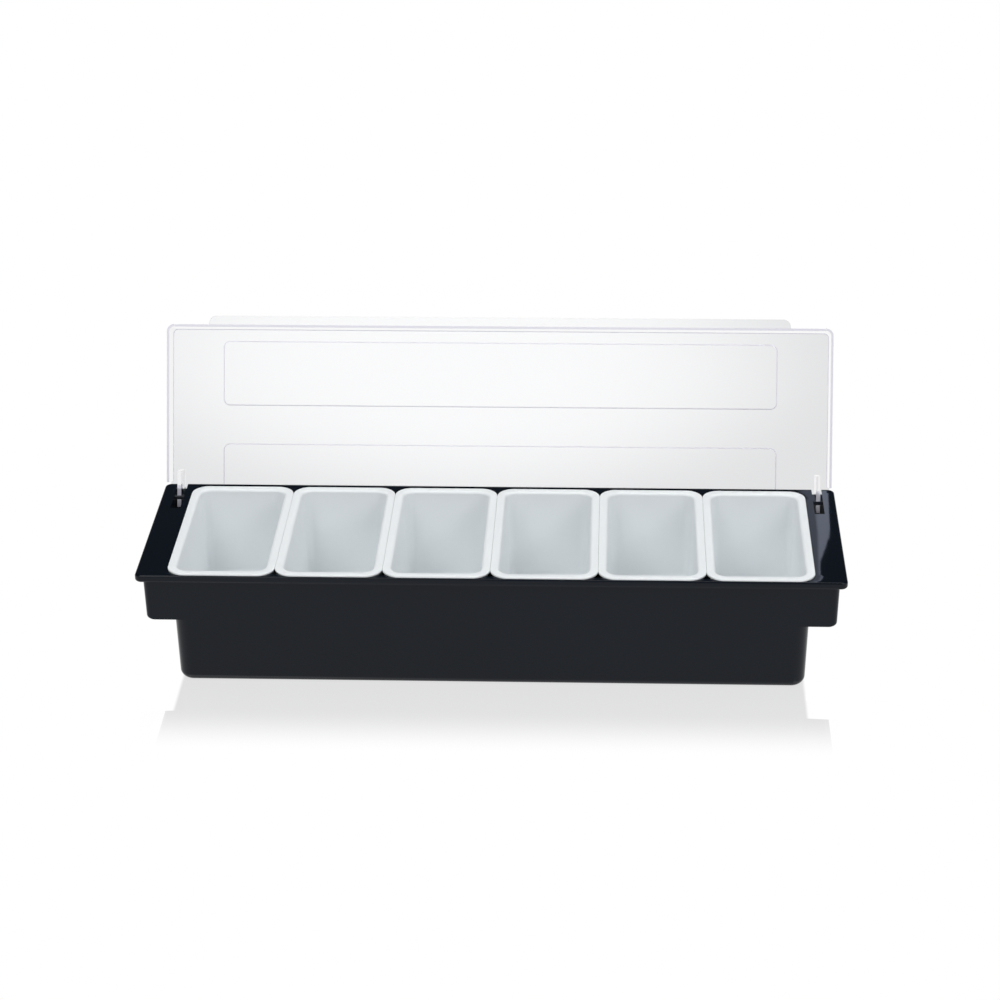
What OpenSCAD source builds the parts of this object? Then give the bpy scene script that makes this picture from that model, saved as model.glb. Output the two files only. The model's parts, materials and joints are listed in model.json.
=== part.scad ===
// Six-insert condiment caddy: black base, white inserts, clear hinged lid.
// Millimetres. X runs along the caddy, the front faces -Y, Z is up.
// The origin is the centre of the footprint on the counter.

/* [Inserts] */
// Width of one insert over its rim
insert_w = 75.8; // [60:0.1:100]
// Length of one insert over its rim, front to back
insert_l = 146.2; // [110:0.2:180]
// Height of one insert over everything
insert_h = 69; // [45:1:76]
// Plan corner radius of the insert rim
insert_corner = 12; // [8:0.5:16]
// Height of the rim above the border it rests on
rim_t = 1.4; // [1:0.1:3]
// Overhang of the rim beyond the insert wall
rim_over = 4.6; // [3:0.1:7]
// Roll of the rim's inner edge
rim_roll = 2; // [1:0.1:3]
// Wall thickness of the inserts
insert_wall = 1.6; // [1.2:0.1:3]
// Draft of the insert walls, degrees
insert_draft = 2.5; // [2:0.1:4]
// Gap between neighbouring insert rims
insert_gap = 0.1; // [0.1:0.1:2]

/* [Base] */
// Height of the ledge above the counter
base_h = 86.9; // [80:0.1:120]
// Ledge beyond the last insert rim, each end
end_ledge = 22.35; // [20:0.05:40]
// Ledge in front of the insert rims
front_ledge = 1.3; // [1:0.1:8]
// Ledge behind the insert rims
rear_ledge = 7.5; // [6:0.1:12]
// Plan corner radius of the flange
flange_corner = 5; // [3:0.5:10]
// Depth of the flange's outer lip
lip_h = 5.5; // [4:0.1:8]
// Rounding of the flange's top edge
flange_round = 1.6; // [0.6:0.1:2.2]
// Rounding of the flange's bottom edge
lip_round = 1.8; // [0.4:0.1:2]
// Thickness of the ledge sheet
sheet_t = 2.5; // [2:0.1:3.5]
// Wall thickness of the base
base_wall = 2.2; // [1.8:0.1:3.5]
// Floor thickness of the well
floor_t = 2.5; // [2:0.1:4]
// Draft of the base walls, degrees
base_draft = 1.8; // [0.5:0.1:2.2]
// Clearance between the inserts and the well
well_clear = 0.8; // [0.4:0.1:2]
// Distance of the wing's end wall inside the flange's end
wing_inset = 5; // [3:0.1:7]
// Depth of the wings below the ledge
wing_drop = 36.5; // [28:0.5:50]
// Plan corner radius of the lower body
body_corner = 13; // [7.5:0.5:14]
// Rounding of the lower body's bottom edge
body_round = 6; // [3:0.5:6.5]

/* [Hinge] */
// Distance of the hinge axis from the rear edge
hinge_back = 20; // [18:0.5:26]
// Depth of the hinge axis below the ledge
hinge_drop = 2.2; // [2.1:0.1:3]
// Diameter of the hinge bar
bar_d = 4; // [3:0.1:4.2]
// Radial clearance of the clip's bore on the bar
bar_clear = 0.05; // [0.02:0.01:0.1]
// Distance of the slot's middle from the flange's end
slot_in = 13.1; // [12:0.1:15]
// Width of the hinge slot
slot_w = 7.3; // [6:0.1:8]
// Length of the hinge slot from the rear edge
slot_l = 43; // [42:0.5:52]
// Depth of the slot through the rear edge
slot_rear = 4.3; // [4.1:0.1:4.4]
// Thickness of the lid's clip rib
rib_t = 2.9; // [2:0.1:4]

/* [Lid] */
// Lean of the open lid beyond upright, degrees
lid_lean = 22; // [18:0.5:26]
// Thickness of the lid plate
plate_t = 2.5; // [1.5:0.1:4]
// Thickness of the lid skirts
skirt_t = 1.7; // [1.2:0.1:3]
// Outward lean of the side skirts, degrees
side_draft = 1; // [0.3:0.1:3]
// Outward lean of the front skirt, degrees
front_draft = 6; // [2:0.5:10]
// Plan corner radius of the lid
lid_corner = 5.5; // [4:0.5:9]
// Rounding between the lid's plate and skirts
lid_round = 2; // [1:0.1:3]
// Distance of the lid's sides inside the flange's ends
lid_side = 2.9; // [2:0.1:5]
// Distance of the lid's front inside the flange's front
lid_front = 6.3; // [5:0.1:12]
// Distance of the lid's rear end inside the flange's rear edge
lid_rear = 0.8; // [0.5:0.1:3]
// Gap under the closed lid's skirts
skirt_gap = 0.4; // [0.3:0.1:1.5]
// Distance of the side skirts' rear ends in front of the hinge axis
skirt_end = 11; // [10.9:0.1:20]
// Clearance between the swinging plate and the rear edge
swing_clear = 0.35; // [0.25:0.05:1.5]
// Length of the lifting tab
tab_out = 6.5; // [4:0.1:12]
// Thickness of the lifting tab
tab_t = 2; // [1.2:0.1:3]
// Distance of the tab's ends inside the lid's sides
tab_in = 31.4; // [20:0.1:80]
// Plan corner radius of the lifting tab
tab_corner = 5.5; // [2:0.5:6]
// Depth of one recessed panel, front to back
panel_w = 48.5; // [30:0.5:52]
// Distance of the front panel from the lid's front end
panel_front = 12.1; // [8:0.1:16]
// Distance between the two panels
panel_gap = 28.5; // [20:0.5:34]
// Distance of the panels' ends inside the lid's sides
panel_in = 39.8; // [25:0.1:80]
// Depth of the recessed panels
panel_d = 0.8; // [0.3:0.1:1.2]
// Plan corner radius of the panels
panel_corner = 5; // [2:0.5:10]

/* [Hidden] */
$fn = 64;
inserts = 6;
pitch = insert_w + insert_gap;
row_l = inserts * pitch - insert_gap;
base_l = row_l + 2 * end_ledge;
base_w = insert_l + front_ledge + rear_ledge;
front_y = -base_w / 2;
rear_y = base_w / 2;
row_y = (front_ledge - rear_ledge) / 2;
lip_z = base_h - lip_h;
rim_top = base_h + rim_t;
bt = tan(base_draft);
it = tan(insert_draft);
// walls of the well and the body, given at ledge level
well_l = row_l - 2 * rim_over + 2 * well_clear;
well_w = insert_l - 2 * rim_over + 2 * well_clear;
body_l = well_l + 2 * base_wall;
body_w = well_w + 2 * base_wall;
wing_l = base_l - 2 * wing_inset;
// the wings' faces lie this far behind the body's
wing_back = 0.1;
wing_z = base_h - wing_drop;
wing_corner = 5;
wing_round = 2.5;
wing_in_x = body_l / 2;
wing_out_x = wing_l / 2 - base_wall;
wall_rear_y = row_y + well_w / 2;
groove_wall = 2.2;
// hinge
axis_y = rear_y - hinge_back;
axis_z = base_h - hinge_drop;
slot_x = base_l / 2 - slot_in;
boss_w = 2;
boss_h = 12;
slot_y = rear_y - slot_l;
// lid, in the closed pose about the hinge axis
swing_r = sqrt(pow(hinge_back, 2) + pow(lip_h - hinge_drop, 2));
plate_in = swing_r + swing_clear;
plate_out = plate_in + plate_t;
lid_l = base_l - 2 * lid_side;
lid_fy = front_y + lid_front - axis_y;
lid_ry = hinge_back - lid_rear;
side_free = hinge_drop + skirt_gap;
front_free = hinge_drop + rim_t + skirt_gap + 0.2;
open_a = 90 + lid_lean;
bore_r = bar_d / 2 + bar_clear;
mouth_w = bar_d * 0.7;
foot_z = -(bar_d / 2 + 0.6);
foot_y = 7;
rib_y = -20;
mark_r = 3;
// roundings of the insert rim's outer edge, above and below
rim_edge = 0.4;
rim_under = 0.2;
// longer than any part of the caddy, for cuts and sections
far = 2 * base_l;

// A block l by w with plan corners r. The child is half its section: u = 0 on the wall,
// positive outward, v up.
module block(l, w, r) {
  for (s = [0, 1]) mirror([0, s, 0])
    translate([-(l / 2 - r), w / 2, 0]) rotate([90, 0, 90])
      linear_extrude(l - 2 * r) clip(w / 2) children();
  for (s = [0, 1]) mirror([s, 0, 0])
    translate([l / 2, w / 2 - r, 0]) rotate([90, 0, 0])
      linear_extrude(w - 2 * r) clip(l / 2) children();
  for (x = [-1, 1], y = [-1, 1])
    translate([x * (l / 2 - r), y * (w / 2 - r), 0])
      rotate_extrude() intersection() {
        translate([r, 0]) children();
        translate([0, -far]) square([far, 2 * far]);
      }
}

// Keeps the part of a half section that lies within reach of the wall.
module clip(reach) {
  intersection() {
    children();
    translate([-reach, -far]) square([reach + far, 2 * far]);
  }
}

// Half section of a drafted wall between v0 and v1, on the wall at height vn,
// with its bottom edge rounded by f.
module draft_half(v0, v1, vn, t, f) {
  u0 = (v0 - vn) * t;
  a = atan(t);
  cu = u0 + f * t - f / cos(a);
  union() {
    polygon([[-far, v0], [cu, v0], [cu, v0 + f],
             [cu + f * cos(a), v0 + f - f * sin(a)],
             [(v1 - vn) * t, v1], [-far, v1]]);
    translate([cu, v0 + f]) circle(f);
  }
}

// Half section of a slab with its top edge rounded by f and its bottom edge by g.
module slab_half(v0, v1, f, g) {
  union() {
    translate([-far, v0 + g]) square([far, v1 - v0 - f - g]);
    translate([-far, v0]) square([far - max(f, g), v1 - v0]);
    translate([-f, v1 - f]) circle(f);
    translate([-g, v0 + g]) circle(g);
  }
}

// Half section of an insert's inside, opening out over the rolled edge.
module inside_half(v0, v1, t, f, roll) {
  draft_half(v0, v1 + 1, v1, t, f);
  difference() {
    translate([-10, v1 - roll]) square([10 + roll, roll + 1]);
    translate([roll, v1 - roll]) circle(roll);
  }
}

module base_tray() {
  color("#24262a") difference() {
    union() {
      translate([0, row_y, 0]) block(body_l, body_w, body_corner)
        draft_half(0, lip_z + 1, base_h, bt, body_round);
      translate([0, row_y, 0]) block(wing_l, body_w - 2 * wing_back, wing_corner)
        draft_half(wing_z, lip_z + 2, base_h, bt, wing_round);
      block(base_l, base_w, flange_corner)
        slab_half(lip_z, base_h, flange_round, lip_round);
    }
    // well
    translate([0, row_y, 0]) block(well_l, well_w, body_corner - base_wall)
      draft_half(floor_t, base_h + 1, base_h, bt, body_round - floor_t);
    for (s = [0, 1]) mirror([s, 0, 0]) {
      wing_hollow();
      slot_cut();
      // underside of the end lip
      translate([wing_l / 2, front_y + 12, lip_z - 1])
        cube([wing_inset - groove_wall, base_w - 24, lip_h - sheet_t + 1]);
    }
    rear_groove();
  }
  color("#24262a") for (s = [0, 1]) mirror([s, 0, 0])
    translate([slot_x - slot_w / 2 - 1, axis_y, axis_z]) rotate([0, 90, 0])
      cylinder(d = bar_d, h = slot_w + 2);
}

// Hand grip under a wing, around the two slot cheeks.
module wing_hollow() {
  difference() {
    intersection() {
      translate([wing_in_x, row_y - well_w / 2, wing_z - 1])
        cube([wing_out_x - wing_in_x, well_w, wing_drop - sheet_t + 1]);
      translate([0, row_y, 0]) block(wing_l - 2 * base_wall, well_w, wing_corner - base_wall)
        draft_half(wing_z - 1, base_h, base_h, bt, 0.4);
    }
    translate([slot_x - slot_w / 2 - boss_w, slot_y - boss_w, base_h - sheet_t - boss_h])
      cube([slot_w + 2 * boss_w + 10, slot_l, boss_h + 5]);
  }
}

module slot_cut() {
  translate([slot_x - slot_w / 2, slot_y, base_h - sheet_t - boss_h - 1])
    cube([slot_w, wall_rear_y - slot_y, boss_h + sheet_t + 2]);
  translate([slot_x - slot_w / 2, slot_y, base_h - slot_rear])
    cube([slot_w, slot_l + 1, slot_rear + 1]);
}

// Underside of the rear lip between the two slots.
module rear_groove() {
  half = slot_x - slot_w / 2 - boss_w;
  translate([-half, row_y + body_w / 2, lip_z - 1])
    cube([2 * half, rear_y - groove_wall - row_y - body_w / 2, lip_h - sheet_t + 1]);
}

module insert(n) {
  wall_l = insert_w - 2 * rim_over;
  wall_w = insert_l - 2 * rim_over;
  corner = insert_corner - 2;
  color("#eef1f0") translate([(n - (inserts + 1) / 2) * pitch, row_y, 0]) difference() {
    union() {
      block(wall_l, wall_w, corner)
        draft_half(rim_top - insert_h, rim_top - 0.5, base_h, it, 5);
      block(insert_w, insert_l, insert_corner) slab_half(base_h, rim_top, rim_edge, rim_under);
    }
    block(wall_l - 2 * insert_wall, wall_w - 2 * insert_wall, corner - insert_wall)
      inside_half(rim_top - insert_h + insert_wall, rim_top, it, 4, rim_roll);
  }
}

module insert_1() { insert(1); }
module insert_2() { insert(2); }
module insert_3() { insert(3); }
module insert_4() { insert(4); }
module insert_5() { insert(5); }
module insert_6() { insert(6); }

// The lid's outside, or its inside when shrunk by side (skirts) and top (plate).
module dome(side, top) {
  hl = lid_l / 2 - side;
  zt = plate_out - top;
  r = max(lid_round - top, 0.5);
  sx = tan(side_draft);
  fy = lid_fy + side / cos(front_draft);
  ft = tan(front_draft);
  intersection() {
    // section across the lid's length, leaning side skirts
    translate([0, far / 2, 0]) rotate([90, 0, 0]) linear_extrude(far) union() {
      polygon([[-hl, side_free - 4], [-hl + (zt - r - side_free) * sx, zt - r],
               [-hl + (zt - r - side_free) * sx + r, zt],
               [hl - (zt - r - side_free) * sx - r, zt],
               [hl - (zt - r - side_free) * sx, zt - r], [hl, side_free - 4]]);
      for (s = [-1, 1])
        translate([s * (hl - (zt - r - side_free) * sx - r), zt - r]) circle(r);
    }
    // section from front to back, leaning front skirt
    translate([-far / 2, 0, 0]) rotate([90, 0, 90]) linear_extrude(far) union() {
      polygon([[fy - 4 * ft, front_free - 4], [fy + (zt - r - front_free) * ft, zt - r],
               [fy + (zt - r - front_free) * ft + r, zt], [far, zt], [far, front_free - 4]]);
      translate([fy + (zt - r - front_free) * ft + r, zt - r]) circle(r);
    }
    // plan
    translate([0, 0, -10]) linear_extrude(60)
      plan(hl, fy, lid_ry + (top > 0 ? 20 : 0), lid_corner - side);
  }
}

// Plan outline from y0 to y1, hl to each side, corners r.
module plan(hl, y0, y1, r) {
  union() {
    translate([-hl + r, y0]) square([2 * (hl - r), y1 - y0]);
    translate([-hl, y0 + r]) square([2 * hl, y1 - y0 - 2 * r]);
    for (x = [-hl + r, hl - r], y = [y0 + r, y1 - r]) translate([x, y]) circle(r);
  }
}

module lid_closed() {
  difference() {
    union() {
      difference() {
        dome(0, 0);
        dome(skirt_t, plate_t);
        // free edges of the side and front skirts
        translate([-far / 2, -far / 2, side_free - 20]) cube([far, far, 20]);
        translate([-lid_l / 2 + lid_corner, lid_fy - 10, side_free - 20])
          cube([lid_l - 2 * lid_corner, 30, 20 + front_free - side_free]);
        // no skirts behind this, so the open lid clears the ledge
        translate([-far / 2, -skirt_end, 0]) cube([far, far, plate_in]);
      }
      // lifting tab along the front skirt's free edge
      translate([0, 0, front_free]) linear_extrude(tab_t)
        intersection() {
          plan(lid_l / 2 - tab_in, lid_fy - tab_out, lid_fy + lid_round + 4 * tab_corner,
               tab_corner);
          translate([-far / 2, lid_fy + skirt_t - far]) square(far);
        }
      for (s = [-1, 1]) translate([s * slot_x - rib_t / 2, 0, 0]) clip_rib();
    }
    for (k = [0, 1]) translate([0, lid_fy + panel_front + k * (panel_w + panel_gap),
                                plate_out - panel_d]) linear_extrude(5)
      plan(lid_l / 2 - panel_in, 0, panel_w, panel_corner);
    // moulding mark
    translate([lid_l / 2 - 14.9, lid_fy + 15.6, plate_out - 0.3]) cylinder(r = mark_r, h = 2);
  }
}

// Rib with the snap bore that rides on the hinge bar.
module clip_rib() {
  rotate([90, 0, 90]) linear_extrude(rib_t) difference() {
    polygon([[rib_y, plate_in + 0.5], [rib_y, foot_z], [foot_y, foot_z], [foot_y, 3],
             [-2.2, 8.6], [-6.6, plate_in], [-6.6, plate_in + 0.5]]);
    circle(bore_r);
    translate([-mouth_w / 2, foot_z - 1]) square([mouth_w, 1 - foot_z]);
  }
}

module lid() {
  color("#e8eaf0") translate([0, axis_y, axis_z]) rotate([-open_a, 0, 0]) lid_closed();
}

base_tray();
insert_1();
insert_2();
insert_3();
insert_4();
insert_5();
insert_6();
lid();
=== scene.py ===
"""Condiment caddy: a black base with six white lift-out inserts under one clear hinged lid.

Sizes are millimetres in the caddy's own frame (X along the caddy, -Y to the front, Z up)
and turn into metres only where a mesh, lamp or camera is made.
"""

import json
import logging
import math
from dataclasses import dataclass, field
from enum import Enum, IntEnum
from typing import Callable, Iterable, Sequence

import bmesh
import bpy
from mathutils import Matrix, Vector


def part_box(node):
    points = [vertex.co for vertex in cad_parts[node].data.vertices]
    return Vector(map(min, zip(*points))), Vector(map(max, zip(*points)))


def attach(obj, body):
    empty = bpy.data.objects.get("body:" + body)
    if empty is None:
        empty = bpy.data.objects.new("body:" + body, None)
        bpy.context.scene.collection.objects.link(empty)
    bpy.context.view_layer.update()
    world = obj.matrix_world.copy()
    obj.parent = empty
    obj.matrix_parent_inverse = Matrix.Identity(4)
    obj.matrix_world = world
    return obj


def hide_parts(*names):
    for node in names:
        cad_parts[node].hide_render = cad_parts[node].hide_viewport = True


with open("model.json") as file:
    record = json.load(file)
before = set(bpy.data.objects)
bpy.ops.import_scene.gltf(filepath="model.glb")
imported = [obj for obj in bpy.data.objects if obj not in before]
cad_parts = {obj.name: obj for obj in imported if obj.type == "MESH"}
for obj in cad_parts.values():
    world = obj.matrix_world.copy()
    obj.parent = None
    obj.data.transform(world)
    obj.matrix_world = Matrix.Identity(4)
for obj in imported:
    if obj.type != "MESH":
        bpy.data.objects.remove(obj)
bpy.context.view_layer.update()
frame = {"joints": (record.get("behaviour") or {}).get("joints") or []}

MM = 0.001
CORNER_STEPS = 12
INSERTS = 6
PAST = 1.0  # how far a cutter stands out of what it cuts, in mm
OVERLAP = 0.01  # how far two cutters reach into each other, in mm

logging.basicConfig(level=logging.INFO, format="%(message)s")
log = logging.getLogger("caddy")

Point2 = tuple[float, float]
Point3 = tuple[float, float, float]
Colour = tuple[float, float, float, float]


class Slot(Enum):
    """The record's material slots."""

    BLACK = "black_plastic"
    WHITE = "white_plastic"
    CLEAR = "clear_plastic"


class Side(Enum):
    """The two ends of the caddy, as the sign of X."""

    LEFT = -1
    RIGHT = 1


class LidFinish(IntEnum):
    """The lid's finishes, as its faces' material numbers."""

    SHEET = 0
    # Painted edge light: a lavender, half-clear finish that stands in for light refracting and
    # running along the sheet's edges.
    EDGE = 1
    RIB = 2


# ---- meshes


@dataclass(frozen=True)
class Ring:
    """One level of a lofted shell: a rounded rectangle at one height, in mm."""

    half: float
    front: float
    rear: float
    corner: float
    z: float

    def points(self) -> list[Vector]:
        """The ring's points, the same number for every ring.

        Returns:
            The points, anticlockwise from above.
        """
        out = []
        centres = (
            (self.half - self.corner, self.front + self.corner, -90),
            (self.half - self.corner, self.rear - self.corner, 0),
            (-self.half + self.corner, self.rear - self.corner, 90),
            (-self.half + self.corner, self.front + self.corner, 180),
        )
        for cx, cy, start in centres:
            for k in range(CORNER_STEPS + 1):
                a = math.radians(start + 90 * k / CORNER_STEPS)
                out.append(Vector((cx + self.corner * math.cos(a),
                                   cy + self.corner * math.sin(a), self.z)))
        return out


def arc(start: float, end: float, steps: int) -> list[float]:
    """Angles in radians from start to end degrees, both included."""
    return [math.radians(start + (end - start) * k / steps) for k in range(steps + 1)]


def rounding(steps: int, start: float = 0, end: float = 90) -> list[Point2]:
    """The steps round an edge rounded at radius 1.

    Args:
        steps: how many steps lie between start and end.
        start: the first angle in degrees, 0 where the surface is flat.
        end: the last angle, 90 where it is upright.

    Returns:
        For each step the rise above the flat part and the inset from the upright one.
    """
    return [(1 - math.cos(a), 1 - math.sin(a)) for a in arc(start, end, steps)]


def new_object(name: str, bm: bmesh.types.BMesh) -> bpy.types.Object:
    """Turns a mesh in mm into a linked object in metres.

    Args:
        name: the object's name.
        bm: the mesh, which is freed.

    Returns:
        The new object, at the origin.
    """
    bmesh.ops.remove_doubles(bm, verts=bm.verts, dist=1e-4)
    bmesh.ops.recalc_face_normals(bm, faces=bm.faces)
    bmesh.ops.scale(bm, vec=(MM, MM, MM), verts=bm.verts)
    mesh = bpy.data.meshes.new(name)
    bm.to_mesh(mesh)
    bm.free()
    obj = bpy.data.objects.new(name, mesh)
    bpy.context.scene.collection.objects.link(obj)
    return obj


def loft(name: str, rings: Sequence[Ring]) -> bpy.types.Object:
    """Joins rings, first to last, into a closed shell with flat ends.

    Args:
        name: the object's name.
        rings: the levels, in order along the surface.

    Returns:
        The shell.
    """
    bm = bmesh.new()
    rows = [[bm.verts.new(p) for p in ring.points()] for ring in rings]
    for low, high in zip(rows, rows[1:]):
        for k in range(len(low)):
            j = (k + 1) % len(low)
            bm.faces.new((low[k], low[j], high[j], high[k]))
    bm.faces.new(list(reversed(rows[0])))
    bm.faces.new(rows[-1])
    return new_object(name, bm)


def upright(u: float, v: float, w: float) -> Vector:
    """Leaves a prism's points where they are, standing on the XY plane."""
    return Vector((u, v, w))


def prism(name: str, outline: Sequence[Point2], low: float, high: float,
          place: Callable[[float, float, float], Vector] = upright) -> bpy.types.Object:
    """A straight prism.

    Args:
        name: the object's name.
        outline: the section's corners.
        low: one end of the prism.
        high: its other end.
        place: turns (u, v, w) into a point, w being the height along the prism.

    Returns:
        The prism.
    """
    bm = bmesh.new()
    rows = [[bm.verts.new(place(u, v, w)) for u, v in outline] for w in (low, high)]
    for k in range(len(outline)):
        j = (k + 1) % len(outline)
        bm.faces.new((rows[0][k], rows[0][j], rows[1][j], rows[1][k]))
    bm.faces.new(list(reversed(rows[0])))
    bm.faces.new(rows[1])
    return new_object(name, bm)


def block(name: str, low: Sequence[float], high: Sequence[float]) -> bpy.types.Object:
    """A plain box between two corners, used to cut."""
    outline = [(low[0], low[1]), (high[0], low[1]), (high[0], high[1]), (low[0], high[1])]
    return prism(name, outline, low[2], high[2])


def rounded_outline(half: float, y0: float, y1: float, corner: float) -> list[Point2]:
    """The corners of a rounded rectangle that is centred on x = 0."""
    return [(p.x, p.y) for p in Ring(half, y0, y1, corner, 0).points()]


def evaluated(obj: bpy.types.Object) -> None:
    """Applies the object's modifiers to its mesh.

    Args:
        obj: the object that is changed.
    """
    graph = bpy.context.evaluated_depsgraph_get()
    mesh = bpy.data.meshes.new_from_object(obj.evaluated_get(graph))
    obj.modifiers.clear()
    old = obj.data
    obj.data = mesh
    bpy.data.meshes.remove(old)


def combine(obj: bpy.types.Object, tools: Iterable[bpy.types.Object], operation: str) -> None:
    """Cuts tools out of obj, or joins them to it, and deletes them.

    Args:
        obj: the object that is changed.
        tools: the objects that change it.
        operation: DIFFERENCE or UNION.
    """
    for tool in tools:
        mod = obj.modifiers.new("combine", "BOOLEAN")
        mod.operation = operation
        mod.solver = "EXACT"
        mod.object = tool
        evaluated(obj)
        bpy.data.objects.remove(tool)


def smooth(obj: bpy.types.Object, angle: float) -> None:
    """Shades the object smooth, apart from edges sharper than angle degrees."""
    for face in obj.data.polygons:
        face.use_smooth = True
    obj.data.set_sharp_from_angle(angle=math.radians(angle))


def soften(obj: bpy.types.Object, width: float, limit: float = 50, steps: int = 2,
           finish: int = -1) -> None:
    """Rounds the sharp edges and shades the rest smooth.

    Args:
        obj: the object that is changed.
        width: the rounding in mm.
        limit: edges sharper than this many degrees are rounded.
        steps: segments across the rounding.
        finish: the material number of the roundings, or -1 to take the neighbours'.
    """
    mod = obj.modifiers.new("round", "BEVEL")
    mod.width = width * MM
    mod.segments = steps
    mod.limit_method = "ANGLE"
    mod.angle_limit = math.radians(limit)
    mod.use_clamp_overlap = True
    mod.miter_outer = "MITER_ARC"
    mod.material = finish
    evaluated(obj)
    smooth(obj, 35)
    mod = obj.modifiers.new("flatten", "WEIGHTED_NORMAL")
    mod.mode = "FACE_AREA"
    mod.weight = 100
    mod.keep_sharp = True
    evaluated(obj)


# ---- finishes


def socket(group: bpy.types.NodeTree, name: str, way: str, kind: str = "NodeSocketFloat",
           value: float | Colour | None = None) -> None:
    """Adds a socket to a node group's interface."""
    made = group.interface.new_socket(name=name, in_out=way, socket_type=kind)
    if value is not None:
        made.default_value = value


@dataclass(frozen=True)
class Wiring:
    """Adds coordinates and math to one node tree."""

    tree: bpy.types.NodeTree

    def apart(self, coordinates: str) -> bpy.types.NodeOutputs:
        """Adds texture coordinates and takes them apart.

        Args:
            coordinates: their name.

        Returns:
            Their X, Y and Z.
        """
        coord = self.tree.nodes.new("ShaderNodeTexCoord")
        apart = self.tree.nodes.new("ShaderNodeSeparateXYZ")
        self.tree.links.new(coord.outputs[coordinates], apart.inputs[0])
        return apart.outputs

    def math(self, operation: str, *values: float | bpy.types.NodeSocket,
             clamp: bool = False) -> bpy.types.NodeSocket:
        """Adds a Math node.

        Args:
            operation: what it does.
            values: a number or a socket for each input.
            clamp: keeps the result between 0 and 1.

        Returns:
            Its output.
        """
        node = self.tree.nodes.new("ShaderNodeMath")
        node.operation = operation
        node.use_clamp = clamp
        for place, value in zip(node.inputs, values):
            if isinstance(value, bpy.types.NodeSocket):
                self.tree.links.new(value, place)
            else:
                place.default_value = value
        return node.outputs[0]

    def ramp(self, value: bpy.types.NodeSocket, low: float, high: float, at_low: float,
             at_high: float) -> bpy.types.NodeSocket:
        """Adds a smooth Map Range node.

        Args:
            value: the socket it reads.
            low: where the ramp starts.
            high: where it ends.
            at_low: the result below low.
            at_high: the result above high.

        Returns:
            Its output.
        """
        node = self.tree.nodes.new("ShaderNodeMapRange")
        node.interpolation_type = "SMOOTHSTEP"
        for place, number in zip(node.inputs[1:], (low, high, at_low, at_high)):
            place.default_value = number
        self.tree.links.new(value, node.inputs["Value"])
        return node.outputs["Result"]

    def blend(self, share: bpy.types.NodeSocket, first: float | bpy.types.NodeSocket,
              second: float | bpy.types.NodeSocket) -> bpy.types.NodeSocket:
        """Goes from first to second as share goes from 0 to 1."""
        step = self.math("MULTIPLY", share, self.math("SUBTRACT", second, first))
        return self.math("ADD", first, step)


def moulding_group() -> bpy.types.NodeTree:
    """The uneven gloss and faint ripple of injection-moulded plastic.

    Returns:
        A group with inputs Colour, Flow, Grain Size, Roughness and Unevenness, and outputs
        Colour, Roughness and Height.
    """
    group = bpy.data.node_groups.get("moulded_surface")
    if group:
        return group
    group = bpy.data.node_groups.new("moulded_surface", "ShaderNodeTree")
    socket(group, "Colour", "INPUT", "NodeSocketColor", (0.8, 0.8, 0.8, 1))
    for name, value in (("Flow", 0.04), ("Grain Size", 900.0), ("Roughness", 0.3),
                        ("Unevenness", 0.05)):
        socket(group, name, "INPUT", value=value)
    socket(group, "Colour", "OUTPUT", "NodeSocketColor")
    socket(group, "Roughness", "OUTPUT")
    socket(group, "Height", "OUTPUT")
    nodes, links, calc = group.nodes, group.links, Wiring(group).math
    given = nodes.new("NodeGroupInput").outputs
    put = nodes.new("NodeGroupOutput").inputs
    coord = nodes.new("ShaderNodeTexCoord")
    flow = nodes.new("ShaderNodeTexNoise")
    flow.inputs["Scale"].default_value = 14
    flow.inputs["Detail"].default_value = 3
    grain = nodes.new("ShaderNodeTexNoise")
    grain.inputs["Detail"].default_value = 2
    for noise in (flow, grain):
        links.new(coord.outputs["Object"], noise.inputs["Vector"])
    links.new(given["Grain Size"], grain.inputs["Scale"])
    centred = calc("SUBTRACT", flow.outputs["Fac"], 0.5)
    tint = nodes.new("ShaderNodeVectorMath")
    tint.operation = "SCALE"
    links.new(given["Colour"], tint.inputs[0])
    links.new(calc("MULTIPLY_ADD", centred, given["Flow"], 1.0), tint.inputs["Scale"])
    links.new(tint.outputs[0], put["Colour"])
    links.new(calc("MULTIPLY_ADD", centred, given["Unevenness"], given["Roughness"]),
              put["Roughness"])
    links.new(calc("MULTIPLY_ADD", grain.outputs["Fac"], 0.25, flow.outputs["Fac"]),
              put["Height"])
    return group


@dataclass(frozen=True)
class Moulded:
    """The surface that the opaque and the clear plastics share.

    Attributes:
        name: the material's name.
        colour: its linear colour.
        roughness: its middle roughness.
        ripple: the strength of its bumps.
        flow: how much the colour varies over the surface.
        unevenness: how much the roughness varies over the surface.
        ripple_depth: the height of its bumps, in mm.
    """

    name: str
    colour: Colour
    roughness: float
    ripple: float
    flow: float = 0.01
    unevenness: float = 0.01
    ripple_depth: float = 0.1

    def surface(self) -> tuple[bpy.types.Material, bpy.types.Node]:
        """Makes the material and feeds it by the moulded_surface group.

        Returns:
            The material and its Principled shader.
        """
        mat = bpy.data.materials.new(self.name)
        mat.use_nodes = True
        nodes, links = mat.node_tree.nodes, mat.node_tree.links
        shader = nodes["Principled BSDF"]
        skin = nodes.new("ShaderNodeGroup")
        skin.node_tree = moulding_group()
        for name, value in (("Colour", self.colour), ("Flow", self.flow),
                            ("Roughness", self.roughness), ("Unevenness", self.unevenness)):
            skin.inputs[name].default_value = value
        bump = nodes.new("ShaderNodeBump")
        bump.inputs["Strength"].default_value = self.ripple
        bump.inputs["Distance"].default_value = self.ripple_depth * MM
        links.new(skin.outputs["Colour"], shader.inputs["Base Color"])
        links.new(skin.outputs["Roughness"], shader.inputs["Roughness"])
        links.new(skin.outputs["Height"], bump.inputs["Height"])
        links.new(bump.outputs["Normal"], shader.inputs["Normal"])
        return mat, shader


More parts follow.
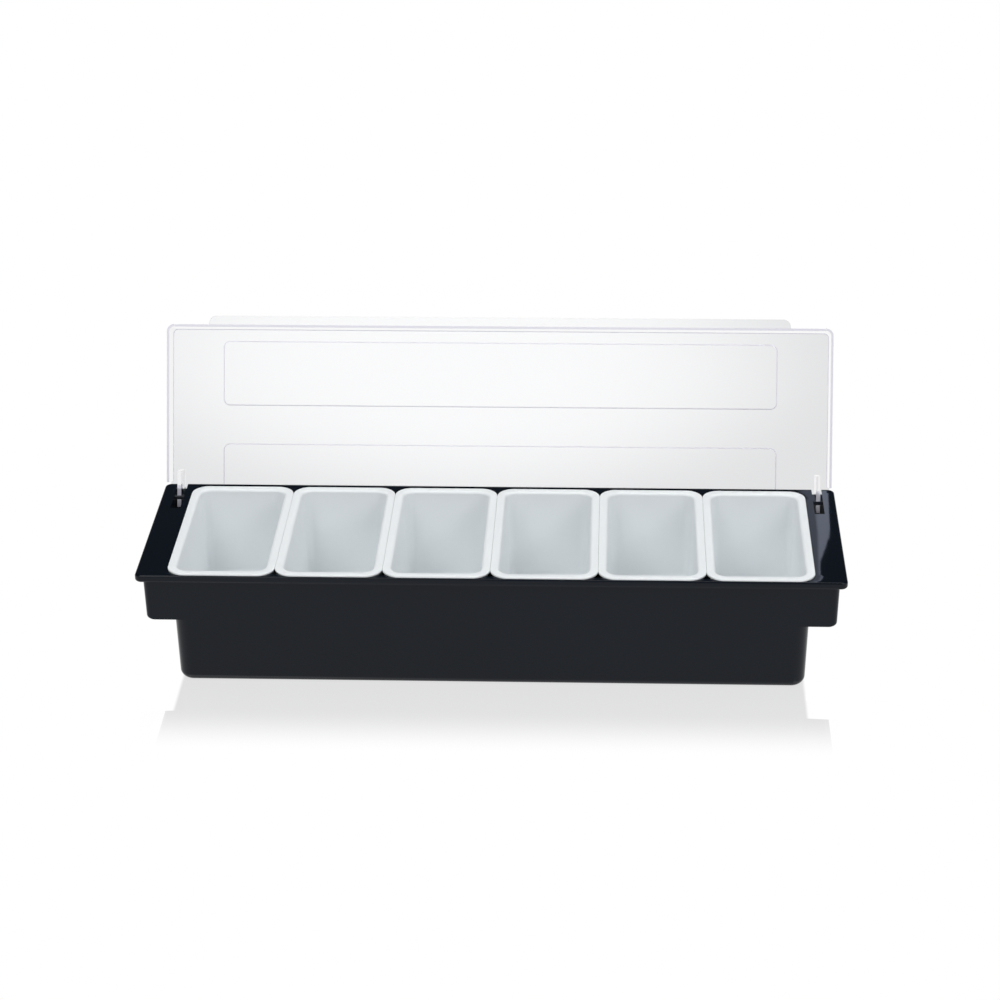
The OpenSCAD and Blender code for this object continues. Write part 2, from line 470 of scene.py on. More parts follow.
@dataclass(frozen=True)
class Plastic(Moulded):
    """An opaque moulded plastic; scatter lets light in, as deep as scatter_depth in mm."""

    specular: float = 0.5
    scatter: float = 0.0
    scatter_depth: float = 1.5

    def build(self) -> bpy.types.Material:
        """Makes the material.

        Returns:
            The material.
        """
        mat, shader = self.surface()
        shader.inputs["Specular IOR Level"].default_value = self.specular
        if self.scatter:
            shader.inputs["Subsurface Weight"].default_value = self.scatter
            shader.inputs["Subsurface Radius"].default_value = (1, 1, 1)
            shader.inputs["Subsurface Scale"].default_value = self.scatter_depth * MM
        return mat


@dataclass(frozen=True)
class ClearPlastic(Moulded):
    """Clear polycarbonate with a glossy skin; the lid's edge finish gives it a painted tint for
    light running along its edges.
    """

    ripple_depth: float = 0.05
    ior: float = 1.12
    transmission: float = 1.0
    coat: float = 1.0
    coat_roughness: float = 0.03

    def build(self) -> bpy.types.Material:
        """Makes the material.

        Returns:
            The material.
        """
        mat, shader = self.surface()
        shader.inputs["Transmission Weight"].default_value = self.transmission
        shader.inputs["IOR"].default_value = self.ior
        shader.inputs["Coat Weight"].default_value = self.coat
        shader.inputs["Coat Roughness"].default_value = self.coat_roughness
        return mat


def srgb(r: int, g: int, b: int) -> Colour:
    """A linear colour from 8-bit values as a screen shows them.

    Args:
        r: red.
        g: green.
        b: blue.

    Returns:
        The colour, with an alpha of 1.
    """
    def lin(v: int) -> float:
        """One channel's linear value."""
        c = v / 255
        return c / 12.92 if c <= 0.04045 else ((c + 0.055) / 1.055) ** 2.4
    return lin(r), lin(g), lin(b), 1.0


BLACK_GLOSS = Plastic("black_gloss_plastic", srgb(6, 14, 24), roughness=0.015, ripple=0.02,
                      flow=0.3, unevenness=0.005, specular=0.2)
WHITE_GLOSS = Plastic("white_gloss_plastic", srgb(238, 242, 244), roughness=0.32, ripple=0.15,
                      unevenness=0.04, specular=0.4, scatter=0.12)
LID_FINISHES = {
    LidFinish.SHEET: ClearPlastic("clear_lid_plastic", (0.77, 0.774, 0.782, 1),
                                  roughness=0.03, ripple=0.006),
    # Painted edge light: lavender, rough and half-clear, standing in for light that refracts and
    # runs along the free edges, steps and roundings.
    LidFinish.EDGE: ClearPlastic("clear_lid_painted_edge_light", (0.66, 0.65, 0.74, 1),
                                 roughness=0.3, ripple=0.05, transmission=0.4, coat=0.5),
    LidFinish.RIB: ClearPlastic("clear_lid_rib", (0.74, 0.74, 0.76, 1),
                                roughness=0.08, ripple=0.006, coat=0),
}


def dress(obj: bpy.types.Object, materials: Sequence[bpy.types.Material], slot: Slot, body: str,
          nodes: Sequence[str] = ()) -> None:
    """Gives a piece its materials and its body, and hides the CAD nodes it stands for.

    Args:
        obj: the piece.
        materials: its finishes, in the order of its faces' material numbers.
        slot: the record's slot of its finish; not used.
        body: the CAD body it rides on.
        nodes: the CAD nodes it replaces.
    """
    marks = [face.material_index for face in obj.data.polygons]
    obj.data.materials.clear()
    for material in materials:
        obj.data.materials.append(material)
    obj.data.polygons.foreach_set("material_index", marks)
    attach(obj, body)
    if nodes:
        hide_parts(*nodes)
    log.info("%s: %d faces on %s", obj.name, len(obj.data.polygons), body)


# ---- sub-assemblies


@dataclass(frozen=True)
class Hinge:
    """The snap hinge's sizes, shared by the base and the lid.

    Attributes:
        axis_y: Y of the axis.
        axis_z: height of the axis.
        bar: the bars' diameter.
        bar_root: how far each end of a bar reaches into its slot's cheek.
        bore_clear: the gap between bar and bore.
        slot_middle: X of each slot's middle, from the caddy's.
        slot_width: the slots' width.
        slot_length: their length, from the flange's rear edge.
        rib: the clip ribs' thickness.
        lean: how far the open lid leans back, in degrees.
    """

    axis_y: float
    axis_z: float
    bar: float = 4.0
    bar_root: float = 0.5
    bore_clear: float = 0.05
    slot_middle: float = 236.9
    slot_width: float = 7.3
    slot_length: float = 43.0
    rib: float = 2.9
    lean: float = 22.0

    @classmethod
    def from_frame(cls) -> "Hinge":
        """Reads the axis from the frame's hinge joint."""
        joint = next(j for j in frame["joints"] if j["name"] == "lid_hinge")
        return cls(joint["pos_m"][1] / MM, joint["pos_m"][2] / MM)


@dataclass
class BaseTray:
    """The black base: flange, wings with hand grips, deep well and hinge slots."""

    hinge: Hinge
    length: float = 500.0
    width: float = 155.0
    height: float = 86.9
    well_edge: float = 0.5
    flange_corner: float = 5.0
    lip: float = 5.5
    flange_round: float = 1.6
    lip_round: float = 1.8
    sheet: float = 2.5
    wall: float = 2.2
    floor: float = 2.5
    draft: float = math.tan(math.radians(1.8))
    body_half: float = 226.05
    body_front: float = -74.6
    body_rear: float = 68.4
    body_corner: float = 13.0
    body_round: float = 6.0
    wing_half: float = 245.0
    wing_corner: float = 5.0
    wing_round: float = 2.5
    wing_drop: float = 36.5
    slot_rear_depth: float = 4.3
    cheek: float = 2.0
    cheek_depth: float = 12.0
    beside_rear: float = 0.2
    groove_wall: float = 2.2
    groove_end: float = 12.0
    edge: float = 0.4

    def ring(self, half: float, z: float, corner: float, inset: float = 0.0,
             end_inset: float = 0.0) -> Ring:
        """A level of the drafted body or wings.

        Args:
            half: half length at ledge level.
            z: height.
            corner: plan corner radius at ledge level.
            inset: distance inside the walls all round.
            end_inset: further distance inside the end walls only.

        Returns:
            The ring.
        """
        d = inset + (self.height - z) * self.draft
        return Ring(half - d - end_inset, self.body_front + d, self.body_rear - d,
                    max(corner - d, 0.6), z)

    def outside(self) -> list[Ring]:
        """Levels of the body's and the wings' outside.

        Returns:
            The rings, from the underside's rounding up to the flange's lip.
        """
        rings = [self.ring(self.body_half, self.body_round * rise, self.body_corner,
                           self.body_round * inset) for rise, inset in rounding(8)]
        wing_z = self.height - self.wing_drop
        rings.append(self.ring(self.body_half, wing_z, self.body_corner))
        rings += [self.ring(self.wing_half, wing_z + self.wing_round * rise, self.wing_corner,
                            end_inset=self.wing_round * inset) for rise, inset in rounding(5)]
        rings.append(self.ring(self.wing_half, self.height - self.lip, self.wing_corner))
        return rings

    def flange(self) -> list[Ring]:
        """Levels round the flange.

        Returns:
            The rings, from its underside to the ledge.
        """
        half, y, z = self.length / 2, self.width / 2, self.height
        levels = [(self.lip_round * inset, z - self.lip + self.lip_round * rise)
                  for rise, inset in rounding(6)]
        levels += [(self.flange_round * rise, z - self.flange_round * inset)
                   for rise, inset in rounding(6)]
        return [Ring(half - d, -y + d, y - d, self.flange_corner - d, level)
                for d, level in levels]

    def inside(self) -> list[Ring]:
        """Levels of the well's inside.

        Returns:
            The rings, from the ledge down to the floor.
        """
        bottom = self.body_round - self.floor
        levels = [(self.height, self.wall - self.well_edge)]
        levels += [(self.height - self.well_edge * rise, self.wall - self.well_edge * inset)
                   for rise, inset in rounding(3, 30)]
        levels += [(self.floor + bottom * rise, self.wall + bottom * inset)
                   for rise, inset in rounding(6, 90, 0)]
        return [self.ring(self.body_half, z, self.body_corner, inset) for z, inset in levels]

    def hollow(self, side: Side) -> list[bpy.types.Object]:
        """The cutters for one wing: its grip hollow round the slot cheeks, and the slot.

        Args:
            side: which end.

        Returns:
            The cutters.
        """
        h = self.hinge
        top, mouth = self.height - self.sheet, self.height - self.wing_drop - PAST
        cheek_low = top - self.cheek_depth
        above, notch = self.height + PAST, self.height - self.slot_rear_depth
        root = self.body_half
        slot = [h.slot_middle - h.slot_width / 2, h.slot_middle + h.slot_width / 2]
        beside = [slot[0] - self.cheek] * 2
        drafted = self.wing_drop * self.draft
        front, rear = self.body_front + self.wall, self.body_rear - self.wall
        slot_start = self.width / 2 - h.slot_length
        cheek_start = slot_start - self.cheek

        def outer(z: float) -> float:
            """Where the wing's end wall starts at height z."""
            return self.wing_half - self.wall - (self.height - z) * self.draft

        def cut(name: str, inner: float, ends: Sequence[float], levels: Point2,
                along: Point2) -> bpy.types.Object:
            """One cutter, with a section from inner to ends and a stretch along Y."""
            low, high = levels
            section = [(inner, low), (ends[0], low), (ends[1], high), (inner, high)]
            return prism(name, section, *along, lambda u, v, w: Vector((side.value * u, w, v)))

        return [
            cut("hollow_ahead", root, (outer(mouth), outer(top)), (mouth, top),
                (front + drafted, cheek_start)),
            cut("hollow_under", root, (outer(mouth), outer(cheek_low)), (mouth, cheek_low),
                (cheek_start - OVERLAP, rear - drafted)),
            cut("hollow_beside", root, beside, (cheek_low - OVERLAP, top),
                (cheek_start - OVERLAP, rear - self.beside_rear)),
            cut("slot_through", slot[0], (slot[1], slot[1]), (cheek_low - PAST, above),
                (slot_start, rear)),
            cut("slot_behind", slot[0], (slot[1], slot[1]), (notch, above),
                (slot_start, self.width / 2 + PAST)),
        ]

    def grooves(self) -> list[bpy.types.Object]:
        """Hollows the flange's underside.

        Returns:
            The cutters.
        """
        h = self.hinge
        low, high = self.height - self.lip - PAST, self.height - self.sheet
        y = self.width / 2
        half = h.slot_middle - h.slot_width / 2 - self.cheek
        cutters = [block("groove_rear", (-half, self.body_rear, low),
                         (half, y - self.groove_wall, high))]
        for side in Side:
            x0, x1 = sorted((side.value * self.wing_half,
                             side.value * (self.length / 2 - self.groove_wall)))
            cutters.append(block("groove_end", (x0, -y + self.groove_end, low),
                                 (x1, y - self.groove_end, high)))
        return cutters

    def bar(self, side: Side) -> bpy.types.Object:
        """Makes one hinge bar, across its slot.

        Args:
            side: which end.

        Returns:
            The bar.
        """
        h = self.hinge
        ring = [(h.bar / 2 * math.cos(a), h.bar / 2 * math.sin(a)) for a in arc(0, 337.5, 31)]
        reach = h.slot_width / 2 + h.bar_root
        x = side.value * h.slot_middle
        obj = prism(f"hinge_bar_{side.name.lower()}", ring, x - reach, x + reach,
                    lambda u, v, w: Vector((w, h.axis_y + u, h.axis_z + v)))
        smooth(obj, 50)
        return obj

    def build(self, material: bpy.types.Material) -> None:
        """Makes the base and its two hinge bars.

        Args:
            material: the black finish.
        """
        shell = loft("tray_shell", self.outside() + self.flange() + self.inside())
        for side in Side:
            combine(shell, self.hollow(side), "DIFFERENCE")
        combine(shell, self.grooves(), "DIFFERENCE")
        soften(shell, self.edge)
        dress(shell, [material], Slot.BLACK, "base", ["base_tray"])
        for side in Side:
            dress(self.bar(side), [material], Slot.BLACK, "base")


@dataclass
class Insert:
    """One white lift-out insert with a rolled rim."""

    number: int
    middle_x: float
    middle_y: float
    width: float
    length: float
    height: float
    top: float
    corner: float = 12.0
    rim: float = 1.4
    over: float = 4.6
    wall: float = 1.6
    wall_corner_in: float = 2.0
    wall_root: float = 0.4
    roll: float = 2.0
    edge: float = 0.4
    under_edge: float = 0.2
    draft: float = math.tan(math.radians(2.5))
    foot_round: float = 5.0
    inner_round: float = 4.0

    @classmethod
    def from_frame(cls, number: int) -> "Insert":
        """Reads an insert's place and overall size from its CAD node.

        Args:
            number: the insert's number, counted from the left.

        Returns:
            The insert.
        """
        low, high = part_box(f"insert_{number}")
        size = (high - low) / MM
        mid = (high + low) / 2 / MM
        return cls(number, mid.x, mid.y, size.x, size.y, size.z, high.z / MM)

    def ring(self, inset: float, z: float, corner: float) -> Ring:
        """A level inset from the rim's outline, before it is moved into place."""
        return Ring(self.width / 2 - inset, -self.length / 2 + inset, self.length / 2 - inset,
                    corner, z)

    def build(self, material: bpy.types.Material) -> None:
        """Makes the insert as one lofted shell.

        Args:
            material: the white finish.
        """
        top, under, foot = self.top, self.top - self.rim, self.top - self.height
        floor = foot + self.wall
        wall_corner = self.corner - self.wall_corner_in

        def outer(z: float, more: float = 0.0) -> Ring:
            """A level of the walls' outside."""
            d = (under - z) * self.draft + more
            return self.ring(self.over + d, z, max(wall_corner - d, 1))

        def inner(z: float, more: float = 0.0) -> Ring:
            """A level of the walls' inside."""
            d = (top - z) * self.draft + self.wall + more
            return self.ring(self.over + d, z, max(wall_corner - d, 1))

        def lip(d: float, z: float) -> Ring:
            """A level of the rim."""
            return self.ring(d, z, self.corner - d)

        rings = [outer(foot + self.foot_round * rise, self.foot_round * inset)
                 for rise, inset in rounding(6)]
        rings += [outer(under - self.wall_root), outer(under, -self.wall_root)]
        rings += [lip(self.under_edge * inset, under + self.under_edge * rise)
                  for rise, inset in rounding(2)]
        rings += [lip(self.edge * rise, top - self.edge * inset) for rise, inset in rounding(4)]
        rings += [inner(top - self.roll * rise, -self.roll * inset)
                  for rise, inset in rounding(7)]
        rings += [inner(floor + self.inner_round * rise, self.inner_round * inset)
                  for rise, inset in rounding(6, 90, 0)]
        obj = loft(f"insert_shell_{self.number}", rings)
        obj.data.transform(Matrix.Translation((self.middle_x * MM, self.middle_y * MM, 0)))
        smooth(obj, 40)
        node = f"insert_{self.number}"
        dress(obj, [material], Slot.WHITE, f"{node}_body", [node])


@dataclass
class Lid:
    """The clear lid, made closed about the hinge axis and then swung open."""

    hinge: Hinge
    base: BaseTray
    plate: float = 2.5
    skirt: float = 1.7
    side_lean: float = math.tan(math.radians(1))
    front_lean: float = math.tan(math.radians(6))
    corner: float = 5.5
    round: float = 2.0
    inner_round: float = 0.5
    edge: float = 0.3
    side_in: float = 2.9
    front_in: float = 6.3
    rear_in: float = 0.8
    skirt_gap: float = 0.4
    skirt_end: float = 11.0
    swing_clear: float = 0.35
    rim: float = 1.4
    rim_clear: float = 0.2
    tab_out: float = 6.5
    tab: float = 2.0
    tab_in: float = 31.4
    tab_corner: float = 5.5
    panel: float = 48.5
    panel_front: float = 12.1
    panel_gap: float = 28.5
    panel_in: float = 39.8
    panel_depth: float = 0.8
    panel_corner: float = 5.0
    panels: int = 2
    rib_front: float = 20.0
    rib_rear: float = 7.0
    rib_rear_height: float = 3.0
    rib_foot: float = 0.6
    rib_into: float = 0.5
    rib_throat: Point2 = (-2.2, 8.6)
    rib_neck: float = 6.6
    bore_front: float = 9.0
    mouth: float = 0.35
    mark_radius: float = 3.0
    mark_depth: float = 0.3
    mark_place: Point2 = (14.9, 15.6)
    drop: float = field(init=False)
    inner_z: float = field(init=False)
    outer_z: float = field(init=False)
    half: float = field(init=False)
    front: float = field(init=False)
    rear: float = field(init=False)
    side_free: float = field(init=False)
    front_free: float = field(init=False)

    def __post_init__(self) -> None:
        """Works out the levels and edges from the base and the hinge."""
        self.drop = self.base.height - self.hinge.axis_z
        back = self.base.width / 2 - self.hinge.axis_y
        self.inner_z = math.hypot(back, self.base.lip - self.drop) + self.swing_clear
        self.outer_z = self.inner_z + self.plate
        self.half = self.base.length / 2 - self.side_in
        self.front = -self.base.width / 2 + self.front_in - self.hinge.axis_y
        self.rear = back - self.rear_in
        self.side_free = self.drop + self.skirt_gap
        self.front_free = self.drop + self.rim + self.skirt_gap + self.rim_clear

    def ring(self, z: float, side: float, inset: float = 0.0) -> Ring:
        """A level of the dome.

        Args:
            z: height above the hinge axis.
            side: distance inside the outer surface, the skirt's thickness for the inside.
            inset: further distance inside, where the dome turns into the plate.

        Returns:
            The ring.
        """
        dx = side + inset + (z - self.side_free) * self.side_lean
        dy = side + inset + (z - self.front_free) * self.front_lean
        return Ring(self.half - dx, self.front + dy, self.rear - inset,
                    max(self.corner - side - inset, 0.8), z)

    def dome(self) -> bpy.types.Object:
        """Makes the plate and skirts.

        Returns:
            One shell, with its rear skirt still on.
        """
        r, inner_r = self.round, self.inner_round
        rings = [self.ring(self.outer_z - r * inset, 0, r * rise)
                 for rise, inset in rounding(6, 90, 0)]
        rings += [self.ring(self.side_free, 0), self.ring(self.side_free, self.skirt)]
        rings += [self.ring(self.inner_z - inner_r * inset, self.skirt, inner_r * rise)
                  for rise, inset in rounding(3)]
        return loft("lid_dome", list(reversed(rings)))

    def rib(self, side: Side) -> bpy.types.Object:
        """Makes one clip rib, with the open bore that snaps on the hinge bar.

        Args:
            side: which end.

        Returns:
            The rib.
        """
        h = self.hinge
        foot = -(h.bar / 2 + self.rib_foot)
        r = h.bar / 2 + h.bore_clear
        mouth = h.bar * self.mouth
        lip = math.degrees(math.asin(mouth / r))
        bore = [(r * math.sin(a), -r * math.cos(a)) for a in arc(lip, 360 - lip, 32)]
        top = self.inner_z + self.rib_into
        outline = [(-self.rib_front, top), (-self.rib_front, foot), (-self.bore_front, foot),
                   (-mouth, foot), *reversed(bore), (mouth, foot), (self.rib_rear, foot),
                   (self.rib_rear, self.rib_rear_height), self.rib_throat,
                   (-self.rib_neck, self.inner_z), (-self.rib_neck, top)]
        x = side.value * h.slot_middle
        return prism(f"rib_{side.name.lower()}", outline, x - h.rib / 2, x + h.rib / 2,
                     lambda u, v, w: Vector((w, u, v)))

    def tab_outline(self) -> list[Point2]:
        """The lifting tab's plan.

        Returns:
            Its corners, rounded at the two free ones.
        """
        half, root = self.half - self.tab_in, self.front + self.skirt
        return [(x, min(y, root)) for x, y in
                rounded_outline(half, self.front - self.tab_out, root + self.tab_corner,
                                self.tab_corner)]

    def finish(self, middle: Vector, normal: Vector) -> LidFinish:
        """Which of the lid's finishes a face of the closed lid takes.

        Args:
            middle: the face's middle, in mm from the hinge axis.
            normal: its normal.

        Returns:
            The finish with painted edge light for free edges, steps and corners, RIB for the clip
            ribs, otherwise SHEET.
        """
        near = 0.1
        down = normal.z < -0.9
        on_rib = abs(abs(middle.x) - self.hinge.slot_middle) < (self.hinge.rib + near) / 2
        if (on_rib and middle.z < self.inner_z - near
                and -self.rib_front - near < middle.y < self.rib_rear + near):
            foot = down and middle.y > -self.bore_front
            return LidFinish.EDGE if foot else LidFinish.RIB
        inside = middle.y > self.front + self.skirt + 1 and abs(middle.x) < self.half - 3
        if middle.y < self.front - near:
            edge = abs(normal.z) < 0.5
        elif middle.z < self.front_free + near and down:
            edge = True
        elif inside and middle.z > self.outer_z - self.panel_depth - near:
            edge = abs(normal.z) < 0.95
        else:
            edge = (self.inner_z - self.inner_round < middle.z < self.inner_z - 0.01
                    and 0.1 < -normal.z < 0.99)
        return LidFinish.EDGE if edge else LidFinish.SHEET

    def recesses(self) -> list[bpy.types.Object]:
        """Sinks the plate's two long panels and its small round mark.

        Returns:
            The cutters.
        """
        cutters = []
        half, d = self.half - self.panel_in, self.panel_depth
        for k in range(self.panels):
            y = self.front + self.panel_front + k * (self.panel + self.panel_gap)
            cutters.append(loft("panel", [
                Ring(half - d, y + d, y + self.panel - d, self.panel_corner - d, self.outer_z - d),
                Ring(half, y, y + self.panel, self.panel_corner, self.outer_z),
                Ring(half, y, y + self.panel, self.panel_corner, self.outer_z + PAST)]))
        x, y = self.half - self.mark_place[0], self.front + self.mark_place[1]
        mark = [(x + self.mark_radius * math.cos(a), y + self.mark_radius * math.sin(a))
                for a in arc(0, 348.75, 31)]
        cutters.append(prism("mark", mark, self.outer_z - self.mark_depth, self.outer_z + PAST))
        return cutters

    def build(self, materials: Sequence[bpy.types.Material]) -> None:
        """Makes the lid and swings it open about the hinge axis.

        Args:
            materials: its finishes, in the order of LidFinish.
        """
        past, past_rear = 10, 60
        far = self.half + past
        lid = self.dome()
        behind = block("cut_behind", (-far, -self.skirt_end, 0), (far, past_rear, self.inner_z))
        low_front = block("cut_front", (-self.half + self.corner, self.front - past, 0),
                          (self.half - self.corner, self.front + 2 * past, self.front_free))
        combine(lid, [behind, low_front], "DIFFERENCE")
        tab = prism("tab", self.tab_outline(), self.front_free, self.front_free + self.tab)
        combine(lid, [tab, self.rib(Side.LEFT), self.rib(Side.RIGHT)], "UNION")
        combine(lid, self.recesses(), "DIFFERENCE")
        lid.data.materials.clear()
        for material in materials:
            lid.data.materials.append(material)
        for face in lid.data.polygons:
            face.material_index = self.finish(face.center / MM, face.normal)
        # The roundings also take the finish with the painted edge light.
        soften(lid, self.edge, finish=LidFinish.EDGE)
        swing = Matrix.Rotation(-math.radians(90 + self.hinge.lean), 4, "X")
        place = Matrix.Translation((0, self.hinge.axis_y * MM, self.hinge.axis_z * MM))
        lid.data.transform(place @ swing)
        # Lamps shine through the clear sheet, and gloss shows the room without it.
        lid.visible_shadow = False
        lid.visible_glossy = False
        dress(lid, materials, Slot.CLEAR, "lid_body", ["lid"])


# ---- studio


@dataclass(frozen=True)
class Camera:
    """The camera at the product's viewing angle.

    Attributes:
        focal_px: focal length in pixels of a picture that is picture_px wide.
        picture_px: the picture's width.
        sensor_mm: the sensor's width.
        eye: where it stands, in mm.
        pitch: degrees down.
        yaw: degrees from the caddy's front towards its right end.
        roll: degrees of tilt.
    """

    focal_px: float = 2817.2
    picture_px: float = 1000.0
    sensor_mm: float = 36.0
    eye: Point3 = (86.8, -1832.2, 975.0)
    pitch: float = 25.20
    yaw: float = -2.57
    roll: float = -0.551

    def build(self) -> None:
        """Makes the camera and looks through it."""
        data = bpy.data.cameras.new("camera")
        data.sensor_width = self.sensor_mm
        data.lens = self.focal_px / self.picture_px * self.sensor_mm
        data.clip_start = 0.05
        data.clip_end = 50
        obj = bpy.data.objects.new("camera", data)
        p, y, r = (math.radians(v) for v in (self.pitch, self.yaw, self.roll))
        ahead = Vector((math.sin(y) * math.cos(p), math.cos(y) * math.cos(p), -math.sin(p)))
        right = Vector((math.cos(y), -math.sin(y), 0))
        up = right.cross(ahead)
        tilted_right = math.cos(r) * right + math.sin(r) * up
        tilted_up = -math.sin(r) * right + math.cos(r) * up
        turn = Matrix((tilted_right, tilted_up, -ahead)).transposed().to_4x4()
        obj.matrix_world = Matrix.Translation(Vector(self.eye) * MM) @ turn
        bpy.context.scene.collection.objects.link(obj)
        bpy.context.scene.camera = obj


@dataclass(frozen=True)
class Floor:
    """A white floor with a patch round the caddy that mirrors it faintly.

    Attributes:
        half_side: half the floor's side, in mm.
        middle: X of the patch's middle, in metres, as all that follow.
        half: the patch's half width, near and far from the caddy's length axis.
        step: how far from that axis the width changes.
        fade: where the mirror starts to fade, and where it ends.
        edge: half the width of the patch's soft ends.
        gloss: how much of the patch's light is mirrored or shaded, as a share.
        shade: the part of that share that takes shadows instead of mirroring.
    """

    half_side: float = 6000.0
    middle: float = 0.0007
    half: Point2 = (0.222, 0.2425)
    step: Point2 = (0.1145, 0.1165)
    fade: Point2 = (0.109, 0.169)
    edge: float = 0.0015
    gloss: float = 0.29
    shade: float = 0.2
    matte_white: Colour = (0.96, 0.96, 0.96, 1)

    def build(self) -> None:
        """Makes the floor, which looks the same as the backdrop outside the patch."""
        bm = bmesh.new()
        bmesh.ops.create_grid(bm, x_segments=1, y_segments=1, size=self.half_side)
        obj = new_object("studio_floor", bm)
        mat = bpy.data.materials.new("studio_floor")
        mat.use_nodes = True
        nodes, links = mat.node_tree.nodes, mat.node_tree.links
        nodes.clear()
        wiring = Wiring(mat.node_tree)
        calc, ramp = wiring.math, wiring.ramp
        matte = nodes.new("ShaderNodeBsdfDiffuse")
        matte.inputs["Color"].default_value = self.matte_white
        mirror = nodes.new("ShaderNodeBsdfAnisotropic")
        mirror.inputs["Roughness"].default_value = 0
        mirror.inputs["Color"].default_value = (1, 1, 1, 1)
        patch = nodes.new("ShaderNodeMixShader")
        patch.inputs["Fac"].default_value = self.shade
        links.new(mirror.outputs["BSDF"], patch.inputs[1])
        links.new(matte.outputs["BSDF"], patch.inputs[2])
        white = nodes.new("ShaderNodeEmission")
        white.inputs["Strength"].default_value = 1
        place = wiring.apart("Object")
        across = calc("ABSOLUTE", calc("SUBTRACT", place["X"], self.middle))
        off = calc("ABSOLUTE", place["Y"])
        beside = calc("SUBTRACT", across, ramp(off, *self.step, *self.half))
        gloss = calc("MULTIPLY", ramp(beside, -self.edge, self.edge, 1, 0),
                     ramp(off, *self.fade, self.gloss, 0))
        mix = nodes.new("ShaderNodeMixShader")
        links.new(gloss, mix.inputs["Fac"])
        links.new(white.outputs["Emission"], mix.inputs[1])
        links.new(patch.outputs["Shader"], mix.inputs[2])
        out = nodes.new("ShaderNodeOutputMaterial")
        links.new(mix.outputs["Shader"], out.inputs["Surface"])
        obj.data.materials.append(mat)


